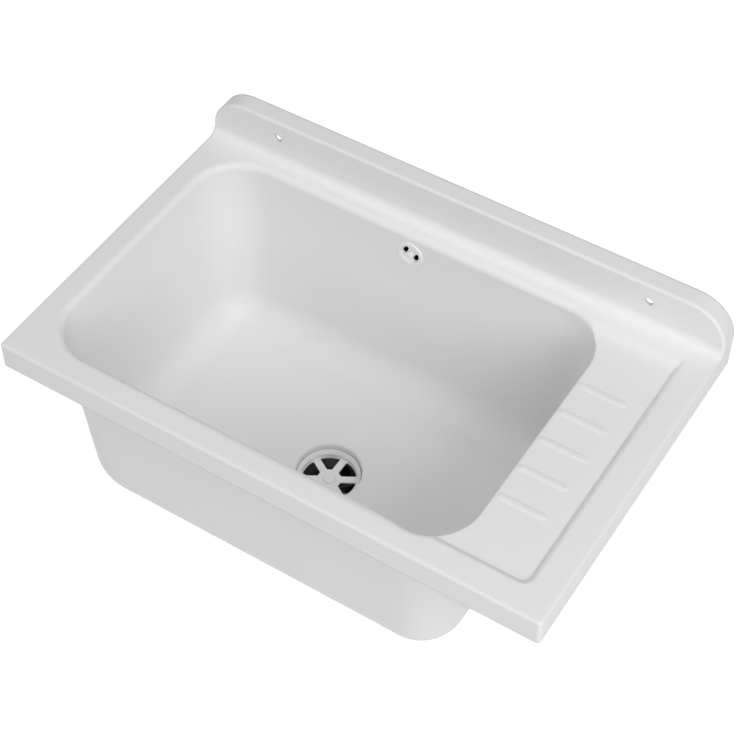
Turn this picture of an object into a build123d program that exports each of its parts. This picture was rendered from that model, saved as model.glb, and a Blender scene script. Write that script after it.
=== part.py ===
from build123d import *
import math
import os

# Wall-hung utility sink of moulded plastic, with a ribbed drainboard, a grid waste and an overflow.
# X runs along the sink, Y goes back into the room's wall (y = 0), Z is up from the deck's top (z = 0).

# ---- basin ----
width = 610.0
depth = 388.0
wall = 4.0
skirt_height = 31.0
plan_corner_radius = 4.0
outer_edge_radius = 3.2

upstand_height = 52.0
upstand_thickness = 21.6
upstand_corner_radius = 43.0
upstand_foot_radius = 11.0

deck_left = 29.0                 # deck left of the bowl
deck_right = 107.0               # deck right of the bowl, with the drainboard
deck_front = 25.0
deck_back = 44.0                 # room's wall to the bowl
bowl_depth = 219.5               # deck top to the drain's rim
bowl_draft = 3.0                 # degrees, on the left, front and back
bowl_right_draft = 4.6
bowl_corner_radius = 54.0        # at the deck
bowl_foot_radius = 43.0          # the same corners at the floor
bowl_blunt_foot_radius = 66.0    # the front left corner, blunter at its foot
bowl_floor_radius = 35.0
bowl_rim_radius = 7.0
floor_thickness = 6.0
floor_fall = 1.5                 # the floor sinks this far towards the drain
floor_fall_radius = 105.0

# ---- drainboard ----
pocket_depth = 4.0
pocket_side_margin = 30.0        # deck right of the pocket
pocket_front_margin = 30.0
pocket_back_margin = 42.0
pocket_back_skew = 10.0          # the back edge runs this far forward on its way to the bowl
pocket_reach = 60.0              # how far the pocket runs in over the bowl
pocket_corner_radius = 12.0
pocket_wall_angle = 45.0         # lean of the pocket's walls, degrees
pocket_ramp = 22.0               # length of the slope at the pocket's back
pocket_ramp_ease = 6.5           # gentler start and end of that slope
pocket_ramp_sink = 0.6           # height of each gentle end
pocket_bevel_width = 1.6         # softens the pocket's edge
pocket_bevel_drop = 1.8          # past the depth at which the bevel meets the wall
pocket_bevel_angle = 65.0
drain_rib_count = 5
drain_rib_pitch = 39.4
drain_rib_width = 9.0
drain_rib_height = 1.1
drain_rib_margin = 22.0          # ribs' right ends to the pocket's right edge
drain_rib_gap = 2.0              # ribs' left ends to the bowl
drain_rib_root = 2.0             # each rib starts this deep in the board
drain_rib_lean = 70.0            # degrees

# ---- underside ----
rib_thickness = 3.0
rib_drop = 23.0
cross_rib_count = 4
cross_rib_pitch = 90.0
middle_web_place = 110.0
web_spread = 24.0                # webs stand this far either side of a wall hole

# ---- holes ----
wall_hole_spacing = 440.0
wall_hole_height = 30.0
wall_hole_radius = 3.5
drain_forward = 3.5              # bowl's middle to the drain
drain_hole_radius = 32.5
drain_recess_radius = 36.2       # at the rim
drain_recess_foot_radius = 35.4
drain_recess_side = 9.0          # rim to the foot of the recess's steep side
drain_recess_depth = 12.0        # rim to the foot of the seat's cone
drain_rim_radius = 2.5           # rounds the recess's rim
drain_boss_radius = 43.0
drain_boss_height = 4.5          # boss under the foot of the cone
overflow_depth = 26.0            # deck top to the overflow's middle
overflow_hole_radius = 12.0

# ---- strainer ----
flange_gap = 0.8                 # strainer flange to the recess
flange_sink = 7.0                # drain's rim to the flange's top
strainer_gasket_thickness = 1.6  # measured upright
strainer_lip = 1.0               # flat rim outside the funnel
funnel_depth = 10.4              # drain's rim to the funnel's foot
funnel_radius = 30.8
dish_depth = 15.0                # drain's rim to the grid
dish_radius = 30.4
grid_thickness = 2.0
neck_gap = 0.5
opening_outer_radius = 30.0
opening_inner_radius = 13.0
opening_corner_radius = 1.6
spoke_count = 6
spoke_width = 8.0
hub_radius = 9.0
hub_drop = 3.0

# ---- waste body ----
waste_gasket_thickness = 2.5
waste_flange_radius = 42.0
waste_flange_thickness = 4.0
cup_wall = 3.5
cup_depth = 23.0
cup_cone_height = 10.0
outlet_radius = 23.9             # G 1 1/2 pipe thread
outlet_bore_radius = 20.0
outlet_length = 22.0
cup_arm_count = 4
cup_arm_thickness = 3.0
cup_arm_height = 12.0
cup_hub_radius = 7.5
cup_hub_height = 16.0
cup_hub_drop = 9.2               # body's top to its hub
branch_drop = 16.5               # body's top to the branch's middle
branch_reach = 62.0              # drain's middle to the branch's end

# ---- screws and inserts ----
strainer_screw_radius = 3.0
strainer_screw_length = 25.0
strainer_insert_wall = 1.6
strainer_insert_length = 13.0
overflow_screw_radius = 2.5
overflow_screw_length = 24.0
overflow_insert_wall = 1.3
overflow_insert_length = 10.0
thread_gap = 0.05
screw_hole_gap = 0.3
screw_head_gap = 0.6
strainer_head_sink = 2.2         # pocket for the head in the strainer's hub
screw_head_radius = 6.0
screw_head_height = 3.4
overflow_head_radius = 4.0
overflow_head_height = 2.2
head_bevel = 1.2
tip_taper = 1.5
slot_width = 1.4
slot_depth = 1.5
slot_margin = 1.6                # slot's end to the head's side

# ---- overflow ----
rosette_radius = 15.5
rosette_thickness = 1.4
rosette_edge_bevel = 0.6
rosette_mouth_radius = 11.3
rosette_dish_radius = 10.4
rosette_dish_bevel = 0.6
rosette_dish_depth = 3.0
rosette_floor = 1.4
rosette_spigot_length = 4.0
rosette_spigot_wall = 0.9
rosette_gap = 0.5
rosette_hub_radius = 4.4
rosette_hub_height = 2.0         # dish's floor to the hub's face
rosette_opening_radius = 7.2     # middle of each opening
rosette_opening_width = 5.0
rosette_opening_length = 10.0
rosette_turn = -24.0             # the plate is fitted turned by this angle
overflow_gasket_thickness = 2.0
overflow_flange_radius = 19.5
overflow_flange_thickness = 3.5
elbow_radius = 15.0
elbow_wall = 3.0
elbow_post_radius = 4.4
elbow_post_recess = 9.0          # elbow's mouth to its screw post
elbow_drop = 38.0                # overflow's middle to the elbow's end

# ---- overflow pipe and its unions ----
spigot_radius = 12.0
spigot_bore_radius = 8.5
pipe_radius = 10.0
pipe_wall = 1.6
pipe_bend_radius = 70.0
pipe_setback = 21.5              # room's wall to the pipe's middle
pipe_gap = 0.05
washer_length = 7.0
washer_band = 2.3                # straight part of the washer
washer_lip = 0.9                 # washer's wall at its thin end
nut_gap = 0.15
nut_mouth_gap = 0.3              # nut's mouth to the pipe
nut_grip = 11.0                  # nut's length on the spigot
nut_floor = 4.0
nut_wall = 3.6
nut_bevel = 1.8
nut_lug_count = 8
nut_lug_width = 3.0
nut_lug_height = 1.2

# ---- places worked out from the sizes above ----
bowl_left = -width / 2 + deck_left
bowl_right = width / 2 - deck_right
bowl_front = -depth + deck_front
bowl_back = -deck_back
bowl_x = (bowl_left + bowl_right) / 2
bowl_y = (bowl_front + bowl_back) / 2
floor_depth = bowl_depth - floor_fall
pocket_right = width / 2 - pocket_side_margin
pocket_front = -depth + pocket_front_margin
draft_slope = math.tan(math.radians(bowl_draft))
right_slope = math.tan(math.radians(bowl_right_draft))

drain_y = bowl_y - drain_forward
drain_seat = Plane(origin=(bowl_x, drain_y, -bowl_depth), x_dir=(1, 0, 0), z_dir=(0, 0, 1))
boss_bottom = -drain_recess_depth - drain_boss_height
body_top = boss_bottom - waste_gasket_thickness
hub_top = body_top - cup_hub_drop
cup_radius = drain_hole_radius + cup_wall

# The overflow sits square on the bowl's leaning back wall, so its axis leans as the wall does.
overflow_seat = Plane(
    origin=(bowl_x, bowl_back - overflow_depth * draft_slope, -overflow_depth),
    x_dir=(1, 0, 0),
    z_dir=(0, -math.cos(math.radians(bowl_draft)), math.sin(math.radians(bowl_draft))),
)
elbow_front = -wall - overflow_gasket_thickness
elbow_back = (overflow_seat.origin.Y + pipe_setback - spigot_radius) / math.cos(math.radians(bowl_draft))
post_front = elbow_front - elbow_post_recess

branch_z = -bowl_depth + body_top - branch_drop
upper_end = Plane(
    origin=(bowl_x, -pipe_setback, -overflow_depth - elbow_drop), x_dir=(1, 0, 0), z_dir=(0, 0, -1)
)
lower_end = Plane(origin=(bowl_x, drain_y + branch_reach, branch_z), x_dir=(1, 0, 0), z_dir=(0, 1, 0))


def turned(seat, *outline, mode=Mode.ADD):
    """Turn a closed outline of (radius, height) points about the seat's axis."""
    side = Plane(origin=seat.origin, x_dir=seat.x_dir, z_dir=seat.x_dir.cross(seat.z_dir))
    with BuildSketch(side) as section:
        with BuildLine():
            Polyline(*outline, close=True)
        make_face()
    revolve(section.sketch, axis=Axis(seat.origin, seat.z_dir), mode=mode)


def tube(seat, outer, inner, low, high, mode=Mode.ADD):
    """Turn a plain ring between two heights on the seat's axis."""
    turned(seat, (inner, low), (outer, low), (outer, high), (inner, high), mode=mode)


def bowl_form(outset, floor_outset):
    """The bowl as a block that narrows downwards, with rounded corners and floor, grown by the outsets."""
    bottom = floor_depth + floor_outset
    with BuildPart() as form:
        for drop, corner_radius, blunt_radius in (
            (0, bowl_corner_radius, bowl_corner_radius),
            (bottom, bowl_foot_radius, bowl_blunt_foot_radius),
        ):
            left = bowl_left - outset + drop * draft_slope
            right = bowl_right + outset - drop * right_slope
            front = bowl_front - outset + drop * draft_slope
            back = bowl_back + outset - drop * draft_slope
            with BuildSketch(Plane.XY.offset(-drop)) as outline:
                with Locations(((left + right) / 2, (front + back) / 2)):
                    Rectangle(right - left, back - front)
                blunt_corner = outline.vertices().sort_by_distance((left, front, -drop))[0]
                fillet(blunt_corner, blunt_radius + outset)
                fillet(outline.vertices().group_by(Axis.X)[-1], corner_radius + outset)
                back_corner = outline.vertices().sort_by_distance((left, back, -drop))[0]
                fillet(back_corner, corner_radius + outset)
        loft(ruled=True)
        fillet(form.faces().sort_by(Axis.Z)[0].edges(), bowl_floor_radius + outset)
    return form


def pocket_outline(outset):
    """Draw the drainboard pocket's plan; its left end lies over the bowl."""
    left = bowl_right - pocket_reach
    front = pocket_front - outset
    back = -pocket_back_margin + outset
    right = pocket_right + outset
    with BuildLine() as edge:
        Polyline((left, front), (right, front), (right, back), (left, back - pocket_back_skew), close=True)
    make_face(edge.edges())
    fillet(vertices().group_by(Axis.X)[-1], pocket_corner_radius + outset)


def cone_washer(end):
    """The tapered rubber ring that seals the pipe in a spigot's end."""
    inner = pipe_radius + pipe_gap
    with BuildPart() as washer:
        turned(
            end,
            (inner, 0),
            (spigot_radius - nut_gap, 0),
            (spigot_radius - nut_gap, washer_band),
            (inner + washer_lip, washer_length),
            (inner, washer_length),
        )
    return washer


def union_nut(end):
    """The ribbed hand nut that draws the pipe's washer against a spigot."""
    bore = spigot_radius + nut_gap
    outer = bore + nut_wall
    length = washer_length + nut_floor
    with BuildPart() as nut:
        turned(
            end,
            (bore, -nut_grip),
            (outer, -nut_grip),
            (outer, length - nut_bevel),
            (outer - nut_bevel, length),
            (pipe_radius + nut_mouth_gap, length),
            (pipe_radius + nut_mouth_gap, washer_length),
            (bore, washer_length),
        )
        with BuildSketch(end.offset(-nut_grip)):
            with PolarLocations(outer, nut_lug_count):
                Rectangle(2 * nut_lug_height, nut_lug_width)
        extrude(amount=nut_grip + length - 2 * nut_bevel)
    return nut


def cone_height(radius):
    """Height of the strainer seat's cone at a radius, from the drain's rim."""
    fall = (drain_recess_depth - drain_recess_side) / (drain_recess_foot_radius - drain_hole_radius)
    return -drain_recess_side - (drain_recess_foot_radius - radius) * fall


def finish(piece, name):
    """Name a finished piece and write it out."""
    piece.part.label = name
    export_step(piece.part, "parts/" + name + ".step")


os.makedirs("parts", exist_ok=True)

# ---- sink basin: deck, skirt, upstand, bowl and ribs in one moulding ----
bowl_outside = bowl_form(wall, floor_thickness)
bowl_inside = bowl_form(0, 0)

with BuildPart() as pocket:
    with BuildSketch():
        pocket_outline(0)
    extrude(amount=-pocket_depth, taper=pocket_wall_angle)
    with BuildSketch():
        pocket_outline(pocket_bevel_width)
    extrude(amount=-pocket_bevel_drop, taper=pocket_bevel_angle)
    ramp_foot = -pocket_back_margin - pocket_ramp
    with BuildSketch(Plane.YZ.offset(bowl_x)):
        with BuildLine():
            Polyline(
                (ramp_foot, -pocket_depth),
                (ramp_foot + pocket_ramp_ease, -pocket_depth + pocket_ramp_sink),
                (-pocket_back_margin - pocket_ramp_ease, -pocket_ramp_sink),
                (-pocket_back_margin, 0),
                (0, 0),
                (0, -pocket_depth),
                close=True,
            )
        make_face()
    extrude(amount=width, mode=Mode.SUBTRACT)

with BuildPart() as sink_basin:
    with BuildSketch():
        with Locations((0, -depth / 2)):
            Rectangle(width, depth)
        fillet(vertices().group_by(Axis.Y)[0], plan_corner_radius)
    extrude(amount=-skirt_height)
    with BuildSketch(Plane.XZ):
        with Locations((0, upstand_height / 2)):
            Rectangle(width, upstand_height)
        fillet(vertices().group_by(Axis.Y)[-1], upstand_corner_radius)
    extrude(amount=upstand_thickness)
    upstand_foot = sink_basin.edges().filter_by(Axis.X).sort_by_distance((0, -upstand_thickness, 0))[0]
    fillet(upstand_foot, upstand_foot_radius)
    deck_front_edge = sink_basin.edges().filter_by(Axis.X).sort_by_distance((0, -depth, 0))[0]
    fillet(deck_front_edge, outer_edge_radius)

    # Hollow from below and from the wall's side.
    with BuildSketch(Plane.XY.offset(-skirt_height)):
        with Locations((0, -depth / 2 + wall)):
            Rectangle(width - 2 * wall, depth)
    extrude(amount=skirt_height - wall, mode=Mode.SUBTRACT)
    with BuildSketch(Plane.XZ):
        with Locations((0, (upstand_height - wall - skirt_height) / 2)):
            Rectangle(width - 2 * wall, upstand_height - wall + skirt_height)
        fillet(vertices().group_by(Axis.Y)[-1], upstand_corner_radius - wall)
    extrude(amount=upstand_thickness - wall, mode=Mode.SUBTRACT)

    # Ribs run from skirt to skirt; the bowl cuts its way through them.
    web_places = [0, -middle_web_place, middle_web_place]
    for side in (-1, 1):
        for spread in (-1, 1):
            web_places.append(side * wall_hole_spacing / 2 + spread * web_spread)
    with BuildSketch(Plane.XY.offset(-wall / 2)):
        with Locations(*[(place, -depth / 2) for place in web_places]):
            Rectangle(rib_thickness, depth - wall)
        with Locations((0, bowl_y)):
            with GridLocations(0, cross_rib_pitch, 1, cross_rib_count):
                Rectangle(width - wall, rib_thickness)
    extrude(amount=-rib_drop)
    with BuildSketch(*[Plane.YZ.offset(place) for place in web_places]):
        with Locations((-upstand_thickness / 2 + wall / 4, (upstand_height - wall / 2 - skirt_height) / 2)):
            Rectangle(upstand_thickness - wall / 2, upstand_height - wall / 2 + skirt_height)
    extrude(amount=rib_thickness / 2, both=True)

    add(bowl_outside.part)
    with BuildSketch():
        pocket_outline(wall)
    extrude(amount=-pocket_depth - wall)
    tube(drain_seat, drain_boss_radius, 0, boss_bottom, 0)

    # Open the bowl and round its rim, then sink the drainboard's pocket into the deck beside it.
    add(bowl_inside.part, mode=Mode.SUBTRACT)
    rim_edge = sink_basin.edges().sort_by_distance((bowl_left, bowl_y, 0))[0]
    fillet(rim_edge, bowl_rim_radius)
    add(pocket.part, mode=Mode.SUBTRACT)

    drain_rib_left = bowl_right + drain_rib_gap
    drain_rib_right = pocket_right - drain_rib_margin
    for start, height, lean in (
        (-pocket_depth - drain_rib_root, drain_rib_root, 0),
        (-pocket_depth, drain_rib_height, drain_rib_lean),
    ):
        with BuildSketch(Plane.XY.offset(start)):
            with Locations(((drain_rib_left + drain_rib_right) / 2, bowl_y)):
                with GridLocations(0, drain_rib_pitch, 1, drain_rib_count):
                    SlotOverall(drain_rib_right - drain_rib_left, drain_rib_width)
        extrude(amount=height, taper=lean)

    # The floor falls to the drain, whose recess takes the strainer's flange.
    turned(
        drain_seat,
        (0, 0),
        (drain_recess_radius, 0),
        (floor_fall_radius, floor_fall),
        (0, floor_fall),
        mode=Mode.SUBTRACT,
    )
    turned(
        drain_seat,
        (0, 0),
        (drain_recess_radius, 0),
        (drain_recess_foot_radius, -drain_recess_side),
        (drain_hole_radius, -drain_recess_depth),
        (0, -drain_recess_depth),
        mode=Mode.SUBTRACT,
    )
    drain_rim = sink_basin.edges().sort_by_distance((bowl_x - drain_recess_radius, drain_y, -bowl_depth))[0]
    fillet(drain_rim, drain_rim_radius)
    tube(drain_seat, drain_hole_radius, 0, boss_bottom, 0, mode=Mode.SUBTRACT)
    tube(overflow_seat, overflow_hole_radius, 0, -2 * wall, wall, mode=Mode.SUBTRACT)

    # Two holes through the upstand take the wall screws.
    with Locations(Plane.XZ.offset(upstand_thickness)):
        with Locations((0, wall_hole_height)):
            with GridLocations(wall_hole_spacing, 0, 2, 1):
                Hole(wall_hole_radius, depth=2 * wall)

finish(sink_basin, "sink_basin")

# ---- strainer: a dished flange with a grid of six slots ----
flange_radius = drain_recess_foot_radius - flange_gap
neck_radius = drain_hole_radius - neck_gap
neck_top = cone_height(neck_radius) + strainer_gasket_thickness
grid_bottom = -dish_depth - grid_thickness
screw_seat = -dish_depth - strainer_head_sink

with BuildPart() as strainer_gasket:
    turned(
        drain_seat,
        (drain_hole_radius, cone_height(drain_hole_radius)),
        (flange_radius, cone_height(flange_radius)),
        (flange_radius, cone_height(flange_radius) + strainer_gasket_thickness),
        (drain_hole_radius, cone_height(drain_hole_radius) + strainer_gasket_thickness),
    )
finish(strainer_gasket, "strainer_gasket")

with BuildPart() as strainer:
    turned(
        drain_seat,
        (0, -dish_depth),
        (dish_radius, -dish_depth),
        (funnel_radius, -funnel_depth),
        (flange_radius - strainer_lip, -flange_sink),
        (flange_radius, -flange_sink),
        (flange_radius, cone_height(flange_radius) + strainer_gasket_thickness),
        (neck_radius, neck_top),
        (neck_radius, grid_bottom),
        (0, grid_bottom),
    )
    with BuildSketch(drain_seat.offset(-dish_depth)):
        Circle(opening_outer_radius)
        Circle(opening_inner_radius, mode=Mode.SUBTRACT)
        with PolarLocations(opening_outer_radius / 2, spoke_count, start_angle=180 / spoke_count):
            Rectangle(2 * opening_outer_radius, spoke_width, mode=Mode.SUBTRACT)
        fillet(vertices(), opening_corner_radius)
    extrude(amount=-grid_thickness, mode=Mode.SUBTRACT)
    tube(drain_seat, hub_radius, 0, grid_bottom - hub_drop, grid_bottom)
    tube(drain_seat, screw_head_radius + screw_head_gap, 0, screw_seat, 0, mode=Mode.SUBTRACT)
    tube(drain_seat, strainer_screw_radius + screw_hole_gap, 0, grid_bottom - hub_drop, 0, mode=Mode.SUBTRACT)
finish(strainer, "strainer")


def slotted_screw(seat, head_seat, shank_radius, head_radius, head_height, length):
    """A pan-head screw with a crossed slot; its head bears at head_seat on the seat's axis."""
    with BuildPart() as screw:
        turned(
            seat,
            (0, head_seat + head_height),
            (head_radius - head_bevel, head_seat + head_height),
            (head_radius, head_seat + head_height - head_bevel),
            (head_radius, head_seat),
            (shank_radius, head_seat),
            (shank_radius, head_seat - length + tip_taper),
            (shank_radius - tip_taper, head_seat - length),
            (0, head_seat - length),
        )
        with BuildSketch(seat.offset(head_seat + head_height)):
            Rectangle(2 * (head_radius - slot_margin), slot_width)
            Rectangle(slot_width, 2 * (head_radius - slot_margin))
        extrude(amount=-slot_depth, mode=Mode.SUBTRACT)
    return screw


strainer_screw = slotted_screw(
    drain_seat,
    screw_seat,
    strainer_screw_radius,
    screw_head_radius,
    screw_head_height,
    strainer_screw_length,
)
finish(strainer_screw, "strainer_screw")

# ---- waste body: cup, hub on four arms, threaded outlet and overflow branch ----
with BuildPart() as waste_gasket:
    tube(drain_seat, waste_flange_radius, drain_hole_radius, body_top, boss_bottom)
finish(waste_gasket, "waste_gasket")

cup_bottom = body_top - cup_depth
outlet_top = cup_bottom - cup_cone_height
outlet_end = outlet_top - outlet_length

with BuildPart() as waste_body:
    turned(
        drain_seat,
        (0, body_top),
        (waste_flange_radius, body_top),
        (waste_flange_radius, body_top - waste_flange_thickness),
        (cup_radius, body_top - waste_flange_thickness),
        (cup_radius, cup_bottom),
        (outlet_radius, outlet_top),
        (outlet_radius, outlet_end),
        (0, outlet_end),
    )
    with BuildSketch(lower_end):
        Circle(spigot_radius)
    extrude(amount=-branch_reach + cup_radius - cup_wall)
    turned(
        drain_seat,
        (0, body_top),
        (drain_hole_radius, body_top),
        (drain_hole_radius, cup_bottom),
        (outlet_bore_radius, outlet_top),
        (outlet_bore_radius, outlet_end),
        (0, outlet_end),
        mode=Mode.SUBTRACT,
    )
    tube(lower_end, spigot_bore_radius, 0, -branch_reach + cup_radius - 2 * cup_wall, 0, mode=Mode.SUBTRACT)
    with BuildSketch(drain_seat.offset(hub_top - cup_hub_height)):
        Circle(cup_hub_radius)
    extrude(amount=cup_hub_height)
    with BuildSketch(drain_seat.offset(hub_top - cup_hub_height)):
        with PolarLocations(cup_radius / 2, cup_arm_count, start_angle=180 / cup_arm_count):
            Rectangle(cup_radius, cup_arm_thickness)
    extrude(amount=cup_arm_height)
    insert_radius = strainer_screw_radius + thread_gap + strainer_insert_wall
    tube(drain_seat, insert_radius, 0, hub_top - cup_hub_height, hub_top, mode=Mode.SUBTRACT)
finish(waste_body, "waste_body")

with BuildPart() as strainer_insert:
    tube(
        drain_seat,
        strainer_screw_radius + thread_gap + strainer_insert_wall,
        strainer_screw_radius + thread_gap,
        hub_top - strainer_insert_length,
        hub_top,
    )
finish(strainer_insert, "strainer_insert")

# ---- overflow: rosette in the bowl, gasket and elbow behind its wall ----
dish_floor = rosette_thickness - rosette_dish_depth
cover_seat = dish_floor + rosette_hub_height
cover_foot = dish_floor - rosette_floor
spigot_inner = overflow_hole_radius - rosette_gap - rosette_spigot_wall

with BuildPart() as overflow_rosette:
    turned(
        overflow_seat,
        (0, dish_floor),
        (rosette_dish_radius - rosette_dish_bevel, dish_floor),
        (rosette_dish_radius, dish_floor + rosette_dish_bevel),
        (rosette_mouth_radius, rosette_thickness),
        (rosette_radius - rosette_edge_bevel, rosette_thickness),
        (rosette_radius, rosette_thickness - rosette_edge_bevel),
        (rosette_radius, 0),
        (overflow_hole_radius - rosette_gap, 0),
        (overflow_hole_radius - rosette_gap, -rosette_spigot_length),
        (spigot_inner, -rosette_spigot_length),
        (spigot_inner, cover_foot),
        (0, cover_foot),
    )
    tube(overflow_seat, rosette_hub_radius, 0, dish_floor, cover_seat)
    with BuildSketch(overflow_seat.offset(dish_floor)):
        with PolarLocations(rosette_opening_radius, 2, start_angle=rosette_turn):
            SlotOverall(rosette_opening_length, rosette_opening_width, rotation=90)
    extrude(amount=-rosette_floor, mode=Mode.SUBTRACT)
    tube(overflow_seat, overflow_screw_radius + screw_hole_gap, 0, cover_foot, cover_seat, mode=Mode.SUBTRACT)
finish(overflow_rosette, "overflow_rosette")

overflow_screw = slotted_screw(
    overflow_seat,
    cover_seat,
    overflow_screw_radius,
    overflow_head_radius,
    overflow_head_height,
    overflow_screw_length,
)
finish(overflow_screw, "overflow_screw")

with BuildPart() as overflow_gasket:
    tube(overflow_seat, overflow_flange_radius, overflow_hole_radius, elbow_front, -wall)
finish(overflow_gasket, "overflow_gasket")

with BuildPart() as overflow_elbow:
    turned(
        overflow_seat,
        (0, elbow_front),
        (overflow_flange_radius, elbow_front),
        (overflow_flange_radius, elbow_front - overflow_flange_thickness),
        (elbow_radius, elbow_front - overflow_flange_thickness),
        (elbow_radius, elbow_back + elbow_wall),
        (elbow_radius - elbow_wall, elbow_back),
        (0, elbow_back),
    )
    with BuildSketch(upper_end):
        Circle(spigot_radius)
    extrude(amount=-elbow_drop)
    elbow_inner = elbow_radius - elbow_wall
    tube(overflow_seat, elbow_inner, 0, elbow_back + elbow_wall, elbow_front, mode=Mode.SUBTRACT)
    with BuildSketch(upper_end):
        Circle(spigot_bore_radius)
    extrude(amount=-elbow_drop, mode=Mode.SUBTRACT)
    tube(overflow_seat, elbow_post_radius, 0, elbow_back + elbow_wall, post_front)
    overflow_insert_radius = overflow_screw_radius + thread_gap + overflow_insert_wall
    tube(overflow_seat, overflow_insert_radius, 0, elbow_back + elbow_wall, post_front, mode=Mode.SUBTRACT)
finish(overflow_elbow, "overflow_elbow")

with BuildPart() as overflow_insert:
    tube(
        overflow_seat,
        overflow_insert_radius,
        overflow_screw_radius + thread_gap,
        post_front - overflow_insert_length,
        post_front,
    )
finish(overflow_insert, "overflow_insert")

# ---- overflow pipe, from the elbow down behind the bowl and forward to the waste body ----
with BuildPart() as overflow_pipe:
    with BuildLine() as pipe_route:
        corner = (bowl_x, -pipe_setback, branch_z)
        FilletPolyline(upper_end.origin, corner, lower_end.origin, radius=pipe_bend_radius)
    with BuildSketch(upper_end):
        Circle(pipe_radius)
        Circle(pipe_radius - pipe_wall, mode=Mode.SUBTRACT)
    sweep()
finish(overflow_pipe, "overflow_pipe")

for name, end in (("upper", upper_end), ("lower", lower_end)):
    finish(cone_washer(end), name + "_cone_washer")
    finish(union_nut(end), name + "_union_nut")
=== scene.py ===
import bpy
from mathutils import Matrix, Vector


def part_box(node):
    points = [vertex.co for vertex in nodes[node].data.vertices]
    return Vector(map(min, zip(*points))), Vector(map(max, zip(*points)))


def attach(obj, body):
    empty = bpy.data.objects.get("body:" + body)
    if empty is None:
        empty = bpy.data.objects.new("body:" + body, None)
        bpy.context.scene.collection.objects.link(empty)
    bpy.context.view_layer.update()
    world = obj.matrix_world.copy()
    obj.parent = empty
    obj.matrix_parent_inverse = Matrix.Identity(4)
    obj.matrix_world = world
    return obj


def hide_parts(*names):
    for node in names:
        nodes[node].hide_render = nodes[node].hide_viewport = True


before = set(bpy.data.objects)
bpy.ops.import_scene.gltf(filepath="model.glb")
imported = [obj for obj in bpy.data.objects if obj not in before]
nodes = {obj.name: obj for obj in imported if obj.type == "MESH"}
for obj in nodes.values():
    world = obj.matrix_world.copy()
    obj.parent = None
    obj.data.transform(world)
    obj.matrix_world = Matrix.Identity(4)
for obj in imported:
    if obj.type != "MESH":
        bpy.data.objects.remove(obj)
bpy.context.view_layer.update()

import math

import bmesh
import bpy
import numpy as np
from mathutils import Vector

# %% [markdown]
# # A laundry sink of moulded polypropylene
#
# The frame brings in the sink as its engineers drew it: the basin, its strainer and overflow,
# and the black fittings underneath, each already in its place. This file gives every one of them
# a finish, adds the thin things that a mould or a thread leaves on the surface, and sets up a small studio
# with soft lamps. All lengths are metres. X runs along the sink, Y goes back to the wall, Z is up, and the
# deck's top lies at Z = 0.

# %% What was loaded
MM = 0.001
print("nodes:", ", ".join(sorted(nodes)))

# %% [markdown]
# ## Camera
#
# A product picture of a sink looks steeply down into the bowl from the front right. The camera's place comes
# from lining up the sink's corners with the photograph, and so does its long lens, which keeps the
# deck's edges close to parallel. The view direction is kept as two angles, because they are easier to read
# than a matrix: the turn round the sink and the height above it.

# %% Camera
CAMERA_PLACE = Vector((0.6522, -1.2192, 1.3909))
CAMERA_TURN = math.radians(32.35)
CAMERA_HEIGHT = math.radians(49.61)

camera_data = bpy.data.cameras.new("camera")
camera_data.sensor_width = 36.0
camera_data.lens = 91.69
camera_data.clip_start = 0.05
camera_data.clip_end = 50.0
camera = bpy.data.objects.new("camera", camera_data)
bpy.context.collection.objects.link(camera)
camera_back = Vector(
    (
        math.sin(CAMERA_TURN) * math.cos(CAMERA_HEIGHT),
        -math.cos(CAMERA_TURN) * math.cos(CAMERA_HEIGHT),
        math.sin(CAMERA_HEIGHT),
    )
)
camera.location = CAMERA_PLACE
camera.rotation_mode = "QUATERNION"
camera.rotation_quaternion = (-camera_back).to_track_quat("-Z", "Y")
bpy.context.scene.camera = camera
bpy.context.scene.view_settings.view_transform = "Standard"
print("camera at", np.round(camera.location, 4), "looking down", round(math.degrees(CAMERA_HEIGHT), 2), "degrees")

# %% [markdown]
# ## Surfaces from numbers
#
# The pieces that are added here are all grids: rows of points, each row a closed ring. One helper turns such
# an array into a mesh, and the pieces then only differ in the formula that fills the array. That keeps every
# shape as one line of numpy instead of a loop over points, and a ring that ends in a single
# point closes the piece.


# %% Helpers for grids
def add_piece(name, points, faces, body):
    """Makes a mesh object from an (n, 3) array of points and a list of faces, and lets it ride on a body."""
    mesh = bpy.data.meshes.new(name)
    mesh.from_pydata([tuple(point) for point in points], [], faces)
    mesh.update()
    mesh.polygons.foreach_set("use_smooth", np.full(len(mesh.polygons), True))
    piece = bpy.data.objects.new(name, mesh)
    bpy.context.collection.objects.link(piece)
    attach(piece, body)
    print(name, "has", len(mesh.polygons), "faces")
    return piece


def ring_faces(rows, columns, first=0, loop=False):
    """Quads between neighbouring rings: corner (i, j) is point first + i * columns + j, and j wraps round."""
    i, j = np.meshgrid(np.arange(rows if loop else rows - 1), np.arange(columns), indexing="ij")
    k, n = (i + 1) % rows, (j + 1) % columns
    quads = np.stack([i * columns + j, i * columns + n, k * columns + n, k * columns + j], axis=-1) + first
    return quads.reshape(-1, 4).tolist()


def turned_points(radii, heights, angles):
    """Points of a turned form: (r cos a, r sin a, h) for each pair of r and h and each angle a, ring by ring."""
    r, a = np.meshgrid(np.asarray(radii, float), angles, indexing="ij")
    h = np.repeat(np.asarray(heights, float)[:, None], len(angles), axis=1)
    return np.stack([r * np.cos(a), r * np.sin(a), h], axis=-1).reshape(-1, 3)


def full_turn(count):
    """Angles evenly round a circle, without the last one that would fall on the first."""
    return np.linspace(0.0, 2.0 * math.pi, count, endpoint=False)


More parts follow.
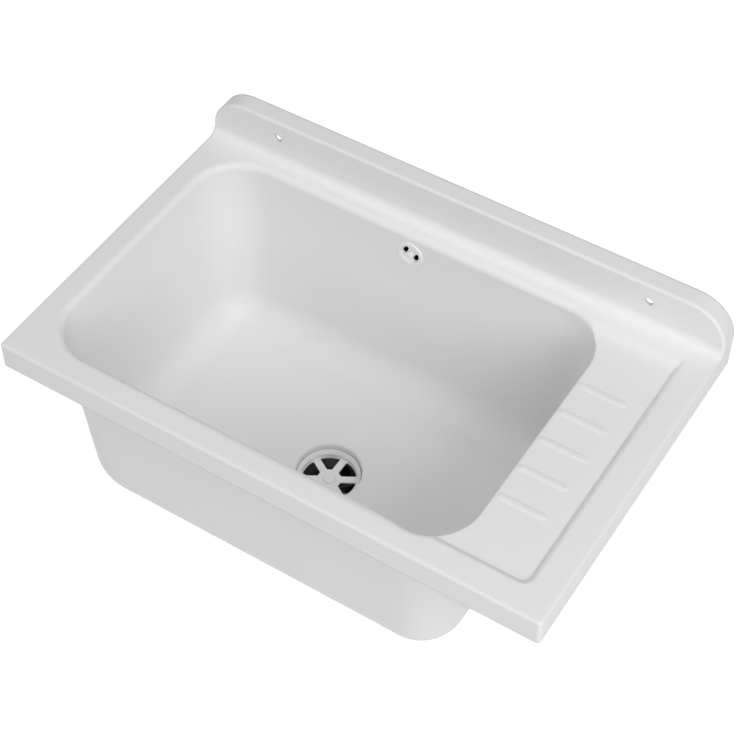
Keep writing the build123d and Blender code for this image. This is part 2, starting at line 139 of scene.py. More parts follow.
def seat_matrix(origin, axis):
    """Columns x, y, z of a seat whose z is the given axis and whose x is the world's X made square to it."""
    z = np.asarray(axis, float) / np.linalg.norm(axis)
    x = np.array([1.0, 0.0, 0.0]) - z[0] * z
    x /= np.linalg.norm(x)
    return np.column_stack([x, np.cross(z, x), z]), np.asarray(origin, float)


def place(points, seat):
    """Moves points from a seat's own axes to the sink's: axes times point, plus origin."""
    axes, origin = seat
    return points @ axes.T + origin


# %% [markdown]
# ## Seats
#
# Two axes carry nearly everything: the drain's, which is upright, and the overflow's, which leans three degrees
# because the bowl's back wall does. They are read from the frame where the frame knows them, so a piece made
# here lines up with the drawn one.

# %% Seats of drain and overflow
drain_low, drain_high = (np.array(corner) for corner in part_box("strainer"))
drain_middle = (drain_low + drain_high) / 2
DRAIN_RIM = -219.5 * MM
drain_seat = seat_matrix((drain_middle[0], drain_middle[1], DRAIN_RIM), (0, 0, 1))

LEAN = math.radians(3.0)
OVERFLOW_DROP = 26.0 * MM
overflow_seat = seat_matrix(
    (drain_middle[0], -44.0 * MM - OVERFLOW_DROP * math.tan(LEAN), -OVERFLOW_DROP),
    (0, -math.cos(LEAN), math.sin(LEAN)),
)
print("drain axis at", np.round(drain_seat[1], 4), "overflow at", np.round(overflow_seat[1], 4))

# %% [markdown]
# ## Studio
#
# White things on white need soft light that is stronger from one side, or they turn into a paper cut-out. The
# strongest lamp is wide and stands in front, a little to the right. A second one high on the right makes the bowl's
# left wall the brightest and its right wall the darkest, and two weaker ones, from above and from the left, keep
# the shadows open together with an even, dim room. The background must be pure white without adding light to the
# sink, so the world and the floor show white to the camera, to mirrors and through glass, and stay plain for
# light itself. There the floor adds a glow to its own paint.

# %% World
ROOM_LEVEL = 0.20
world = bpy.data.worlds.new("studio")
bpy.context.scene.world = world
world.use_nodes = True
links = world.node_tree.links
world.node_tree.nodes.clear()
world_out = world.node_tree.nodes.new("ShaderNodeOutputWorld")
world_mix = world.node_tree.nodes.new("ShaderNodeMixShader")
room = world.node_tree.nodes.new("ShaderNodeBackground")
room.inputs["Color"].default_value = (1.0, 1.0, 1.0, 1.0)
room.inputs["Strength"].default_value = ROOM_LEVEL
backdrop = world.node_tree.nodes.new("ShaderNodeBackground")
backdrop.inputs["Color"].default_value = (1.0, 1.0, 1.0, 1.0)
backdrop.inputs["Strength"].default_value = 1.0


def seen_directly(tree):
    """A value of 1 for rays from the camera, a mirror or through glass, else 0: max(camera, glossy, transmission)."""
    light_path = tree.nodes.new("ShaderNodeLightPath")
    value = light_path.outputs["Is Camera Ray"]
    for other in ("Is Glossy Ray", "Is Transmission Ray"):
        largest = tree.nodes.new("ShaderNodeMath")
        largest.operation = "MAXIMUM"
        tree.links.new(value, largest.inputs[0])
        tree.links.new(light_path.outputs[other], largest.inputs[1])
        value = largest.outputs["Value"]
    return value


links.new(seen_directly(world.node_tree), world_mix.inputs["Fac"])
links.new(room.outputs["Background"], world_mix.inputs[1])
links.new(backdrop.outputs["Background"], world_mix.inputs[2])
links.new(world_mix.outputs["Shader"], world_out.inputs["Surface"])
print("room level", ROOM_LEVEL)

# %% Floor
FLOOR_DROP = 0.85
FLOOR_GLOW = 0.80
FLOOR_REACH = 12.0
floor_corners = [(x * FLOOR_REACH, y * FLOOR_REACH, -FLOOR_DROP) for x, y in ((-1, -1), (1, -1), (1, 1), (-1, 1))]
floor_mesh = bpy.data.meshes.new("studio_floor")
floor_mesh.from_pydata(floor_corners, [], [(0, 1, 2, 3)])
floor = bpy.data.objects.new("studio_floor", floor_mesh)
bpy.context.collection.objects.link(floor)

floor_paint = bpy.data.materials.new("pale_floor")
floor_paint.use_nodes = True
tree = floor_paint.node_tree
tree.nodes.clear()
floor_out = tree.nodes.new("ShaderNodeOutputMaterial")
matt = tree.nodes.new("ShaderNodeBsdfDiffuse")
matt.inputs["Color"].default_value = (0.88, 0.88, 0.88, 1.0)
glow = tree.nodes.new("ShaderNodeEmission")
glow.inputs["Strength"].default_value = FLOOR_GLOW
both = tree.nodes.new("ShaderNodeAddShader")
choice = tree.nodes.new("ShaderNodeMixShader")
tree.links.new(matt.outputs["BSDF"], both.inputs[0])
tree.links.new(glow.outputs["Emission"], both.inputs[1])
tree.links.new(seen_directly(tree), choice.inputs["Fac"])
tree.links.new(matt.outputs["BSDF"], choice.inputs[1])
tree.links.new(both.outputs["Shader"], choice.inputs[2])
tree.links.new(choice.outputs["Shader"], floor_out.inputs["Surface"])
floor_mesh.materials.append(floor_paint)
print("floor lies", FLOOR_DROP, "m below the deck, as under a sink on its wall")


# %% Lamps
LOOK_AT = Vector((0.0, -0.2, -0.1))


def soft_lamp(name, place_at, size, watts):
    """A square area lamp of the given side, turned so that it shines from place_at to LOOK_AT."""
    data = bpy.data.lights.new(name, "AREA")
    data.shape = "SQUARE"
    data.size = size
    data.energy = watts
    lamp = bpy.data.objects.new(name, data)
    bpy.context.collection.objects.link(lamp)
    lamp.location = place_at
    lamp.rotation_mode = "QUATERNION"
    lamp.rotation_quaternion = (LOOK_AT - Vector(place_at)).to_track_quat("-Z", "Y")
    print(name, watts, "W")


soft_lamp("key_lamp", (2.2, -0.7, 1.9), 1.6, 25.5)
soft_lamp("front_lamp", (1.6, -2.6, 1.6), 2.0, 44.0)
soft_lamp("top_lamp", (0.0, -0.2, 2.6), 2.4, 12.5)
soft_lamp("left_lamp", (-2.6, -0.8, 1.2), 2.0, 14.0)

# %% [markdown]
# ## Effects that several plastics share
#
# Moulded plastic is never a flat colour. The mould's etched skin leaves a fine grain that breaks up the gloss,
# and the melt cools unevenly, which leaves slow, faint tides in tone and shine. Both effects sit on every
# plastic piece here at different strengths, so each is one shader node group with its own inputs, made once.


# %% A small builder for node groups
def new_group(name, inputs, outputs):
    """Makes an empty shader group with float or vector sockets and returns it with its input and output nodes."""
    group = bpy.data.node_groups.new(name, "ShaderNodeTree")
    for label, kind, value in inputs:
        socket = group.interface.new_socket(name=label, in_out="INPUT", socket_type=kind)
        if value is not None:
            socket.default_value = value
    for label, kind in outputs:
        group.interface.new_socket(name=label, in_out="OUTPUT", socket_type=kind)
    return group, group.nodes.new("NodeGroupInput"), group.nodes.new("NodeGroupOutput")


def math_node(tree, operation, first, second):
    """One Math node; each of first and second is a socket to link or a number to set."""
    node = tree.nodes.new("ShaderNodeMath")
    node.operation = operation
    for socket, value in zip(node.inputs, (first, second)):
        if hasattr(value, "is_linked"):
            tree.links.new(value, socket)
        else:
            socket.default_value = value
    return node.outputs["Value"]


# %% Etched grain
grain, grain_in, grain_out = new_group(
    "etched_grain",
    [
        ("Vector", "NodeSocketVector", None),
        ("Grains per metre", "NodeSocketFloat", 2200.0),
        ("Depth", "NodeSocketFloat", 1.0),
    ],
    [("Height", "NodeSocketFloat"), ("Shine", "NodeSocketFloat")],
)
pits = grain.nodes.new("ShaderNodeTexNoise")
pits.inputs["Detail"].default_value = 2.0
pits.inputs["Roughness"].default_value = 0.6
grain.links.new(grain_in.outputs["Vector"], pits.inputs["Vector"])
grain.links.new(grain_in.outputs["Grains per metre"], pits.inputs["Scale"])
coarse = grain.nodes.new("ShaderNodeTexVoronoi")
coarse.feature = "SMOOTH_F1"
grain.links.new(grain_in.outputs["Vector"], coarse.inputs["Vector"])
grain.links.new(math_node(grain, "MULTIPLY", grain_in.outputs["Grains per metre"], 0.45), coarse.inputs["Scale"])
coarse_part = math_node(grain, "MULTIPLY", coarse.outputs["Distance"], 0.6)
sum_of_both = math_node(grain, "ADD", pits.outputs["Fac"], coarse_part)
grain.links.new(math_node(grain, "MULTIPLY", sum_of_both, grain_in.outputs["Depth"]), grain_out.inputs["Height"])
grain.links.new(math_node(grain, "SUBTRACT", pits.outputs["Fac"], 0.5), grain_out.inputs["Shine"])
print("group", grain.name)

# %% Tides of the melt
tides, tides_in, tides_out = new_group(
    "melt_tides",
    [
        ("Vector", "NodeSocketVector", None),
        ("Tides per metre", "NodeSocketFloat", 7.0),
        ("Strength", "NodeSocketFloat", 1.0),
    ],
    [("Tone", "NodeSocketFloat"), ("Shine", "NodeSocketFloat")],
)
slow = tides.nodes.new("ShaderNodeTexNoise")
slow.inputs["Detail"].default_value = 3.0
slow.inputs["Distortion"].default_value = 0.6
tides.links.new(tides_in.outputs["Vector"], slow.inputs["Vector"])
tides.links.new(tides_in.outputs["Tides per metre"], slow.inputs["Scale"])
quick = tides.nodes.new("ShaderNodeTexNoise")
quick.inputs["Detail"].default_value = 4.0
tides.links.new(tides_in.outputs["Vector"], quick.inputs["Vector"])
tides.links.new(math_node(tides, "MULTIPLY", tides_in.outputs["Tides per metre"], 6.0), quick.inputs["Scale"])
slow_part = math_node(tides, "SUBTRACT", slow.outputs["Fac"], 0.5)
quick_part = math_node(tides, "SUBTRACT", quick.outputs["Fac"], 0.5)
tides.links.new(math_node(tides, "MULTIPLY", slow_part, tides_in.outputs["Strength"]), tides_out.inputs["Tone"])
tides.links.new(math_node(tides, "MULTIPLY", quick_part, tides_in.outputs["Strength"]), tides_out.inputs["Shine"])
print("group", tides.name)

# %% [markdown]
# ## Plastics
#
# One function mixes a plastic from its colour, its gloss and how strongly the two effects show. The white of
# the basin is satin with the finest grain, the strainer and the rosette come from polished moulds and are
# glossier, and the fittings under the bowl are black and coarser. The basin's drawn edges are crisp, so its
# recipe also rounds the shading of every edge with a Bevel node.


# %% The recipe for moulded plastic
BASIN_EDGE = 3.0 * MM
BASIN_SPECULAR = 0.4
RUBBER_SPECULAR = 0.35


def plastic(name, colour, gloss, grains=2200.0, bump=0.02, tone=0.02, shine=0.06, tide_scale=7.0, round_edge=0.0):
    """Colour * (1 + tone * tide), roughness gloss + shine * (tide + grain), and a bump of the grain's height."""
    material = bpy.data.materials.new(name)
    material.use_nodes = True
    tree = material.node_tree
    shader = tree.nodes["Principled BSDF"]
    place_node = tree.nodes.new("ShaderNodeTexCoord")
    own_grain = tree.nodes.new("ShaderNodeGroup")
    own_grain.node_tree = grain
    own_grain.inputs["Grains per metre"].default_value = grains
    own_tides = tree.nodes.new("ShaderNodeGroup")
    own_tides.node_tree = tides
    own_tides.inputs["Tides per metre"].default_value = tide_scale
    tree.links.new(place_node.outputs["Object"], own_grain.inputs["Vector"])
    tree.links.new(place_node.outputs["Object"], own_tides.inputs["Vector"])
    level = math_node(tree, "ADD", math_node(tree, "MULTIPLY", own_tides.outputs["Tone"], tone), 1.0)
    tint = tree.nodes.new("ShaderNodeMix")
    tint.data_type = "RGBA"
    tint.blend_type = "MULTIPLY"
    tint.inputs["Factor"].default_value = 1.0
    tint.inputs["A"].default_value = (*colour, 1.0)
    grey = tree.nodes.new("ShaderNodeCombineColor")
    for channel in ("Red", "Green", "Blue"):
        tree.links.new(level, grey.inputs[channel])
    tree.links.new(grey.outputs["Color"], tint.inputs["B"])
    tree.links.new(tint.outputs["Result"], shader.inputs["Base Color"])
    rough = math_node(tree, "ADD", math_node(tree, "MULTIPLY", own_tides.outputs["Shine"], shine), gloss)
    rough = math_node(tree, "ADD", rough, math_node(tree, "MULTIPLY", own_grain.outputs["Shine"], shine))
    tree.links.new(rough, shader.inputs["Roughness"])
    relief = tree.nodes.new("ShaderNodeBump")
    relief.inputs["Strength"].default_value = bump
    relief.inputs["Distance"].default_value = 0.0004
    tree.links.new(own_grain.outputs["Height"], relief.inputs["Height"])
    tree.links.new(relief.outputs["Normal"], shader.inputs["Normal"])
    shader.inputs["IOR"].default_value = 1.49
    if round_edge:
        rounded = tree.nodes.new("ShaderNodeBevel")
        rounded.samples = 8
        rounded.inputs["Radius"].default_value = round_edge
        tree.links.new(rounded.outputs["Normal"], relief.inputs["Normal"])
    print("plastic", name)
    return material


white_basin = plastic(
    "satin_white_polypropylene", (0.87, 0.87, 0.87), 0.50, bump=0.25, tone=0.02, shine=0.10, round_edge=BASIN_EDGE
)
white_basin.node_tree.nodes["Principled BSDF"].inputs["Specular IOR Level"].default_value = BASIN_SPECULAR
white_fitting = plastic(
    "polished_white_plastic", (0.91, 0.91, 0.91), 0.24, grains=1500.0, bump=0.05, tone=0.01, shine=0.05
)
black_fitting = plastic(
    "black_moulded_polypropylene", (0.018, 0.018, 0.020), 0.45, grains=1400.0, bump=0.35, tone=0.25, shine=0.2
)
grey_pipe = plastic(
    "corrugated_pipe_plastic",
    (0.62, 0.63, 0.64),
    0.38,
    grains=1600.0,
    bump=0.2,
    tone=0.05,
    shine=0.1,
    tide_scale=25.0,
)

# %% [markdown]
# ## Rubber, steel and brass
#
# The seals are dark rubber with a dusty bloom. The screws are stainless steel and the inserts are brass, both
# turned on a lathe, which leaves fine rings round the axis. A wave texture in rings gives them, with its centre
# moved to the screw's own axis by a Mapping node, so the rings stay put when the screw turns.


# %% Rubber and turned metal
def rubber(name, colour):
    """Dark base mixed towards a paler bloom where the slow noise is high, rough all over with a little bump."""
    material = plastic(name, colour, 0.72, grains=900.0, bump=0.4, tone=0.35, shine=0.18, tide_scale=60.0)
    material.node_tree.nodes["Principled BSDF"].inputs["Specular IOR Level"].default_value = RUBBER_SPECULAR
    return material


def turned_metal(name, colour, roughness, seat):
    """Metal with lathe rings: rough = roughness - 0.04 + 0.08 * wave(distance from the axis) + 0.12 * noise."""
    material = bpy.data.materials.new(name)
    material.use_nodes = True
    tree = material.node_tree
    shader = tree.nodes["Principled BSDF"]
    shader.inputs["Base Color"].default_value = (*colour, 1.0)
    shader.inputs["Metallic"].default_value = 1.0
    axes, origin = seat
    where = tree.nodes.new("ShaderNodeTexCoord")
    centred = tree.nodes.new("ShaderNodeMapping")
    centred.inputs["Location"].default_value = tuple(-origin)
    tree.links.new(where.outputs["Object"], centred.inputs["Vector"])
    rings = tree.nodes.new("ShaderNodeTexWave")
    rings.wave_type = "RINGS"
    rings.rings_direction = "Z" if abs(axes[2, 2]) > 0.5 else "Y"
    rings.inputs["Scale"].default_value = 1600.0
    rings.inputs["Distortion"].default_value = 1.5
    tree.links.new(centred.outputs["Vector"], rings.inputs["Vector"])
    smears = tree.nodes.new("ShaderNodeTexNoise")
    smears.inputs["Scale"].default_value = 350.0
    tree.links.new(where.outputs["Object"], smears.inputs["Vector"])
    rough = math_node(tree, "ADD", math_node(tree, "MULTIPLY", rings.outputs["Fac"], 0.08), roughness - 0.04)
    rough = math_node(tree, "ADD", rough, math_node(tree, "MULTIPLY", smears.outputs["Fac"], 0.12))
    tree.links.new(rough, shader.inputs["Roughness"])
    relief = tree.nodes.new("ShaderNodeBump")
    relief.inputs["Strength"].default_value = 0.12
    relief.inputs["Distance"].default_value = 0.0001
    tree.links.new(rings.outputs["Fac"], relief.inputs["Height"])
    tree.links.new(relief.outputs["Normal"], shader.inputs["Normal"])
    print("metal", name)
    return material


seal_rubber = rubber("dark_sealing_rubber", (0.05, 0.05, 0.052))
drain_steel = turned_metal("stainless_of_drain_screw", (0.62, 0.62, 0.61), 0.26, drain_seat)
overflow_steel = turned_metal("stainless_of_overflow_screw", (0.62, 0.62, 0.61), 0.26, overflow_seat)
drain_brass = turned_metal("brass_of_drain_insert", (0.72, 0.52, 0.22), 0.30, drain_seat)
overflow_brass = turned_metal("brass_of_overflow_insert", (0.72, 0.52, 0.22), 0.30, overflow_seat)

# %% Finishes for the drawn pieces
finishes = {
    "sink_basin": white_basin,
    "strainer": white_fitting,
    "overflow_rosette": white_fitting,
    "waste_body": black_fitting,
    "overflow_elbow": black_fitting,
    "upper_union_nut": black_fitting,
    "lower_union_nut": black_fitting,
    "overflow_pipe": grey_pipe,
    "strainer_gasket": seal_rubber,
    "waste_gasket": seal_rubber,
    "overflow_gasket": seal_rubber,
    "upper_cone_washer": seal_rubber,
    "lower_cone_washer": seal_rubber,
    "strainer_screw": drain_steel,
    "overflow_screw": overflow_steel,
    "strainer_insert": drain_brass,
    "overflow_insert": overflow_brass,
}
for name, material in finishes.items():
    for slot in nodes[name].material_slots:
        slot.material = material
print(len(finishes), "drawn pieces have a finish")

# %% [markdown]
# ## The basin's skin
#
# The photograph shows the bowl's front rim five millimetres further back than the drawn one, while its foot stands
# where it was drawn. So the basin gets a skin of its own: the drawn mesh with its double corners merged, bent by a
# smooth field that moves points straight back. The field is the product of one curve for each axis, and it
# fades out before it reaches the deck's edge, the bowl's floor and the drainboard. The same field lowers the
# drainboard's ribs to the faint lines of the photograph and opens the two wall holes a little. A bent surface
# needs bent normals too, and they turn with the inverse transpose of the field's slope.


# %% Front rim of the bowl
def ease(value, start, end):
    """Smooth step from 0 at start to 1 at end: 3 t^2 - 2 t^3 with t clipped to 0..1."""
    t = np.clip((value - start) / (end - start), 0.0, 1.0)
    return t * t * (3.0 - 2.0 * t)


RIM_SHIFT = 5.2 * MM
RIM_GROWS, RIM_FADES, RIM_ENDS = (-383.5, -370.0), (-352.0, -296.0), (100.0, 185.0)
RIM_MIDDLE = -361.0
BOWL_FOOT = 219.0
BOARD_LEFT, BOARD_RIGHT, BOARD_FRONT, BOARD_BACK = 203.0, 256.0, -345.0, -70.0
BOARD_FLOOR, RIB_TOP, RIB_REACH, RIB_SINK = 4.0, -2.85, 1.2, 0.5
HOLE_ACROSS, HOLE_UP, HOLE_REACH, HOLE_BACK, HOLE_GROWTH = 220.0, 30.0, 3.6, -15.0, 0.3


def rim_shift(points):
    """How far a point moves along Y: RIM_SHIFT * along(y) * down(z) * across(x), with x, y and z in millimetres."""
    x, y, z = (points / MM).T
    along = np.where(y < RIM_MIDDLE, ease(y, *RIM_GROWS), 1.0 - ease(y, *RIM_FADES))
    down = np.clip(1.0 + z / BOWL_FOOT, 0.0, 1.0)
    across = 1.0 - ease(x, *RIM_ENDS)
    return RIM_SHIFT * along * down * across


def rib_sink(points):
    """How far a drainboard rib comes down: -RIB_SINK * its height over the board's floor, only on the board."""
    x, y, z = (points / MM).T
    board = (x > BOARD_LEFT) & (x < BOARD_RIGHT) & (y > BOARD_FRONT) & (y < BOARD_BACK) & (z < RIB_TOP)
    return -RIB_SINK * MM * np.clip(z + BOARD_FLOOR, 0.0, RIB_REACH) * board


def hole_spread(points):
    """How far a point moves out from the nearer wall hole's axis: HOLE_GROWTH * its distance, only at the bore."""
    x, y, z = (points / MM).T
    across, up = x - np.copysign(HOLE_ACROSS, x), z - HOLE_UP
    bore = (np.hypot(across, up) < HOLE_REACH) & (y < HOLE_BACK)
    return HOLE_GROWTH * MM * across * bore, HOLE_GROWTH * MM * up * bore


def moved(points):
    """The whole field: a point's new place."""
    out, up = hole_spread(points)
    return points + np.stack([out, rim_shift(points), up + rib_sink(points)], axis=-1)


def bent_normals(points, normals):
    """Normals after the field: the inverse transpose of its slope, J[i, j] = d moved_i / d x_j, times the normal."""
    step = 0.02 * MM
    shifts = [(moved(points + step * axis) - moved(points - step * axis)) / (2 * step) for axis in np.eye(3)]
    slope = np.stack(shifts, axis=-1)
    turned = np.linalg.solve(np.swapaxes(slope, 1, 2), normals[:, :, None])[:, :, 0]
    return turned / np.linalg.norm(turned, axis=1, keepdims=True)


def corners_of(mesh):
    """Place of each face corner of a mesh, as an (n, 3) array."""
    places, index = np.empty(len(mesh.vertices) * 3), np.empty(len(mesh.loops), dtype=np.int32)
    mesh.vertices.foreach_get("co", places)
    mesh.loops.foreach_get("vertex_index", index)
    return places.reshape(-1, 3)[index]


drawn = nodes["sink_basin"].data
basin_mesh = drawn.copy()
basin_mesh.name = "basin_skin"
drawn_normals = np.empty(len(drawn.loops) * 3)
drawn.corner_normals.foreach_get("vector", drawn_normals)
carried = basin_mesh.attributes.new("drawn_normal", "FLOAT_VECTOR", "CORNER")
carried.data.foreach_set("vector", drawn_normals)

merging = bmesh.new()
merging.from_mesh(basin_mesh)
bmesh.ops.remove_doubles(merging, verts=merging.verts, dist=0.002 * MM)
open_edges = sum(not edge.is_manifold for edge in merging.edges)
print("merged basin has", len(merging.verts), "points and", open_edges, "open edges")
merging.to_mesh(basin_mesh)
merging.free()

normals = np.empty(len(basin_mesh.loops) * 3)
basin_mesh.attributes["drawn_normal"].data.foreach_get("vector", normals)
normals = bent_normals(corners_of(basin_mesh), normals.reshape(-1, 3))
places = np.empty(len(basin_mesh.vertices) * 3)
basin_mesh.vertices.foreach_get("co", places)
places = places.reshape(-1, 3)
bent = moved(places)
basin_mesh.vertices.foreach_set("co", bent.ravel())
basin_mesh.attributes.remove(basin_mesh.attributes["drawn_normal"])
basin_mesh.update()
basin_mesh.normals_split_custom_set(normals.tolist())

basin = bpy.data.objects.new("dressed_basin", basin_mesh)
bpy.context.collection.objects.link(basin)
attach(basin, "sink")
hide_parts("sink_basin")
largest_shift = float(np.abs(bent - places).max() / MM)
print("dressed basin has", len(basin_mesh.polygons), "faces, largest shift", round(largest_shift, 2), "mm")

# %% [markdown]
# ## The overflow's corrugated pipe
#
# The pipe that takes the overflow's water down to the drain is blown into rings so that it can bend without
# kinking, and it keeps a smooth cuff at each end for the seals. The drawn pipe is a plain tube of the same
# size and route, which is right for its weight and its place. Here it gets its rings: the radius is a function of
# the distance along the route, a softened square wave between the two cuffs, swept as closed rings along
# the straight, the bend and the second straight. The inner skin follows the outer one at the wall's thickness.

# %% Route and rings of the pipe
pipe_corner_low, pipe_corner_high = (np.array(corner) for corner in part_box("overflow_pipe"))
CREST, GROOVE, SKIN = 10.0 * MM, 8.5 * MM, 0.9 * MM
PIPE_TOP = np.array([drain_middle[0], pipe_corner_high[1] - CREST, pipe_corner_high[2]])
PIPE_LOW = pipe_corner_low[2] + CREST
PIPE_END_Y = pipe_corner_low[1]
BEND = 70.0 * MM
RING_PITCH = 4.4 * MM
CUFF = 17.0 * MM

first_run = PIPE_TOP[2] - PIPE_LOW - BEND
bend_run = BEND * math.pi / 2
second_run = PIPE_TOP[1] - BEND - PIPE_END_Y
pipe_length = first_run + bend_run + second_run


def pipe_route(distance):
    """Middle and direction at a distance: down a straight, round a quarter circle of radius BEND, then forward."""
    turn = np.clip((distance - first_run) / BEND, 0.0, math.pi / 2)
    down = np.minimum(distance, first_run) + BEND * np.sin(turn)
    forward = BEND * (1.0 - np.cos(turn)) + np.maximum(distance - first_run - bend_run, 0.0)
    middle = PIPE_TOP + np.stack([0 * down, -forward, -down], axis=-1)
    direction = np.stack([0 * turn, -np.sin(turn), -np.cos(turn)], axis=-1)
    return middle, direction


def ring_profile(distance):
    """Radius at a distance: crest in the cuffs, and between them a softened square wave of one ring per pitch."""
    inside = np.minimum(distance - CUFF, pipe_length - CUFF - distance)
    wave = np.tanh(2.2 * np.cos(2 * math.pi * (distance - CUFF) / RING_PITCH)) / math.tanh(2.2)
    fade = np.clip(inside / (0.5 * RING_PITCH), 0.0, 1.0)
    low = GROOVE + (CREST - GROOVE) * (0.5 + 0.5 * wave)
    return CREST + (low - CREST) * fade


def swept_rings(distance, radius, columns):
    """Rings of the given radii square to the route: middle + r (cos a * X + sin a * (direction x X))."""
    middle, direction = pipe_route(distance)
    across = np.array([1.0, 0.0, 0.0])
    other = np.cross(direction, across)
    angle = full_turn(columns)
    ring = np.cos(angle)[None, :, None] * across + np.sin(angle)[None, :, None] * other[:, None, :]
    return (middle[:, None, :] + radius[:, None, None] * ring).reshape(-1, 3)


PIPE_COLUMNS = 40
steps = np.linspace(0.0, pipe_length, int(pipe_length / (RING_PITCH / 10)) + 1)
outer_rings = swept_rings(steps, ring_profile(steps), PIPE_COLUMNS)
inner_rings = swept_rings(steps[::-1], ring_profile(steps[::-1]) - SKIN, PIPE_COLUMNS)
pipe_points = np.vstack([outer_rings, inner_rings])
pipe = add_piece("corrugated_pipe", pipe_points, ring_faces(2 * len(steps), PIPE_COLUMNS, loop=True), "sink")
pipe.data.materials.append(grey_pipe)
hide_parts("overflow_pipe")
print("pipe is", round(pipe_length / MM, 1), "mm long with", int((pipe_length - 2 * CUFF) / RING_PITCH), "rings")

# %% [markdown]
# ## Threads
#
# A thread is a ridge that climbs round a cylinder, so its surface is simple to write down: at each angle and
# height the radius depends only on how far that point has climbed, height over pitch minus angle over a full
# turn. The outlet's coarse pipe thread stands on the drawn outlet as its own skin. The screws are made whole, head,
# shank and thread, in place of the drawn ones.


# %% Threaded skins
def thread_wave(climb):
    """Ridge height from 0 to 1 for a climb in turns: a triangle wave with its crest and root cut flat."""
    ridge = np.abs((climb % 1.0) * 2.0 - 1.0)
    return np.clip((ridge - 0.2) / 0.6, 0.0, 1.0)


def threaded_rings(low, high, root, depth, pitch, columns, per_turn=12):
    """Rings of a thread: radius = root + depth * wave(height / pitch - angle / turn) * run-out at both ends."""
    heights = np.linspace(low, high, int((high - low) / pitch * per_turn) + 1)
    h, a = np.meshgrid(heights, full_turn(columns), indexing="ij")
    run_out = np.clip(np.minimum(h - low, high - h) / (0.8 * pitch), 0.0, 1.0)
    r = root + depth * run_out * thread_wave(h / pitch - a / (2 * math.pi))
    return np.stack([r * np.cos(a), r * np.sin(a), h], axis=-1).reshape(-1, 3), len(heights)


OUTLET_RADIUS = 23.9 * MM
OUTLET_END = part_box("waste_body")[0][2] - DRAIN_RIM
OUTLET_TOP = OUTLET_END + 22.0 * MM
THREAD_LOW, THREAD_HIGH = OUTLET_END + 1.2 * MM, OUTLET_TOP - 2.0 * MM
OUTLET_PITCH, OUTLET_RIDGE, OUTLET_LIFT, OUTLET_SUNK = 2.309 * MM, 0.5 * MM, 0.03 * MM, 0.6 * MM
OUTLET_COLUMNS = 72
skin, skin_rows = threaded_rings(
    THREAD_LOW, THREAD_HIGH, OUTLET_RADIUS + OUTLET_LIFT, OUTLET_RIDGE, OUTLET_PITCH, OUTLET_COLUMNS
)
back = turned_points([OUTLET_RADIUS - OUTLET_SUNK] * 2, [THREAD_HIGH, THREAD_LOW], full_turn(OUTLET_COLUMNS))
outlet_points = place(np.vstack([skin, back]), drain_seat)
outlet_faces = ring_faces(skin_rows + 2, OUTLET_COLUMNS, loop=True)
outlet_thread = add_piece("outlet_thread", outlet_points, outlet_faces, "sink")
outlet_thread.data.materials.append(black_fitting)

# %% Screws, head and thread in one skin
def screw(name, seat, head_seat, shank, head, height, length, pitch, body, node, steel):
    """A pan-head screw from tip to crown: a cone, the thread, a plain neck, the head's foot and its domed top.

    The dome is r = head - e (1 - cos t), h = top - e + e sin t for t from 0 to a quarter turn, with e the edge.
    """
    tip = head_seat - length
    columns = 40
    root, ridge = shank * 0.82, shank * 0.17
    neck, edge = head_seat - 2.0 * MM, 1.1 * MM
    thread, rows = threaded_rings(tip + 1.2 * MM, neck, root, ridge, pitch, columns, 10)
    dome = np.linspace(0.0, math.pi / 2, 9)[:-1]
    before = turned_points([shank * 0.5], [tip], full_turn(columns))
    crown_r = np.concatenate([[root, root, head], head - edge * (1 - np.cos(dome))])
    crown_h = np.concatenate([[neck, head_seat, head_seat], head_seat + height - edge + edge * np.sin(dome)])
    after = turned_points(crown_r, crown_h, full_turn(columns))
    points = np.vstack([before, thread, after, [[0, 0, tip]], [[0, 0, head_seat + height]]])
    ring_rows = rows + 1 + len(crown_r)
    faces = ring_faces(ring_rows, columns)
    bottom, top, last = ring_rows * columns, ring_rows * columns + 1, (ring_rows - 1) * columns
    faces += [(bottom, (j + 1) % columns, j) for j in range(columns)]
    faces += [(top, last + j, last + (j + 1) % columns) for j in range(columns)]
    piece = add_piece(name, place(points, seat), faces, body)
    piece.data.materials.append(steel)
    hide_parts(node)


screw(
    "drain_screw",
    drain_seat,
    head_seat=-17.2 * MM,
    shank=3.0 * MM,
    head=6.0 * MM,
    height=3.4 * MM,
    length=25.0 * MM,
    pitch=1.0 * MM,
    body="strainer_screw",
    node="strainer_screw",
    steel=drain_steel,
)
screw(
    "overflow_cover_screw",
    overflow_seat,
    head_seat=0.4 * MM,
    shank=2.5 * MM,
    head=4.0 * MM,
    height=2.2 * MM,
    length=24.0 * MM,
    pitch=0.8 * MM,
    body="rosette_screw",
    node="overflow_screw",
    steel=overflow_steel,
)

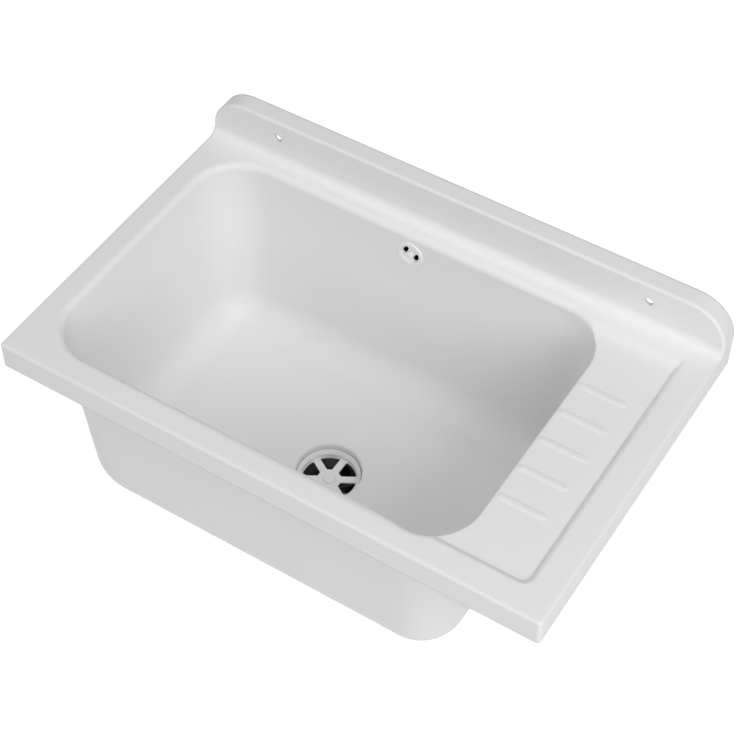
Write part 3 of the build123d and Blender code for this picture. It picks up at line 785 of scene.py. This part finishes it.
# %% [markdown]
# ## Screw caps
#
# No steel shows in the photograph: both screws carry a thin white cap that snaps over the head. A cap is a
# turned shell, so its outline is written once, from the skirt's foot over a low dome to the crown, and closed on
# the inside at the wall's thickness.


# %% Caps
def cap(name, seat, foot, radius, height, body):
    """A domed shell, 0.3 mm thick: outer skirt, quarter-circle shoulder, crown, and the same line back inside.

    The shoulder is r = radius - e + e cos t, h = foot + height - e + e sin t, with e = 1.3 mm outside and 1.0 inside.
    """
    columns = 48
    wall, shoulder = 0.3 * MM, 1.3 * MM
    inner_shoulder = shoulder - wall
    sweep = np.linspace(0.0, math.pi / 2, 10)[:-1]
    core, spring, top = radius - shoulder, foot + height - shoulder, foot + height
    flat = radius * 0.5
    outer_r = np.concatenate([[radius], core + shoulder * np.cos(sweep), [flat]])
    outer_h = np.concatenate([[foot], spring + shoulder * np.sin(sweep), [top + 0.02 * MM]])
    inner_r = np.concatenate([[flat], (core + inner_shoulder * np.cos(sweep))[::-1], [radius - wall]])
    inner_h = np.concatenate([[top - wall], (spring + inner_shoulder * np.sin(sweep))[::-1], [foot]])
    outer = turned_points(outer_r, outer_h, full_turn(columns))
    inner = turned_points(inner_r, inner_h, full_turn(columns))
    count = len(outer_r)
    points = np.vstack([outer, inner, [[0, 0, top + 0.03 * MM]], [[0, 0, top - wall]]])
    faces = ring_faces(count, columns)
    faces += ring_faces(len(inner_r), columns, first=count * columns)
    last, first_inner = (count - 1) * columns, count * columns
    foot_inner = (count + len(inner_r) - 1) * columns
    crown, under = (count + len(inner_r)) * columns, (count + len(inner_r)) * columns + 1
    faces += [(crown, last + j, last + (j + 1) % columns) for j in range(columns)]
    faces += [(under, first_inner + (j + 1) % columns, first_inner + j) for j in range(columns)]
    faces += [(j, (j + 1) % columns, foot_inner + (j + 1) % columns, foot_inner + j)[::-1] for j in range(columns)]
    piece = add_piece(name, place(points, seat), faces, body)
    piece.data.materials.append(white_fitting)


cap("drain_screw_cap", drain_seat, foot=-16.6 * MM, radius=6.45 * MM, height=3.3 * MM, body="strainer_screw")
cap("overflow_screw_cap", overflow_seat, foot=0.5 * MM, radius=4.4 * MM, height=2.5 * MM, body="rosette_screw")
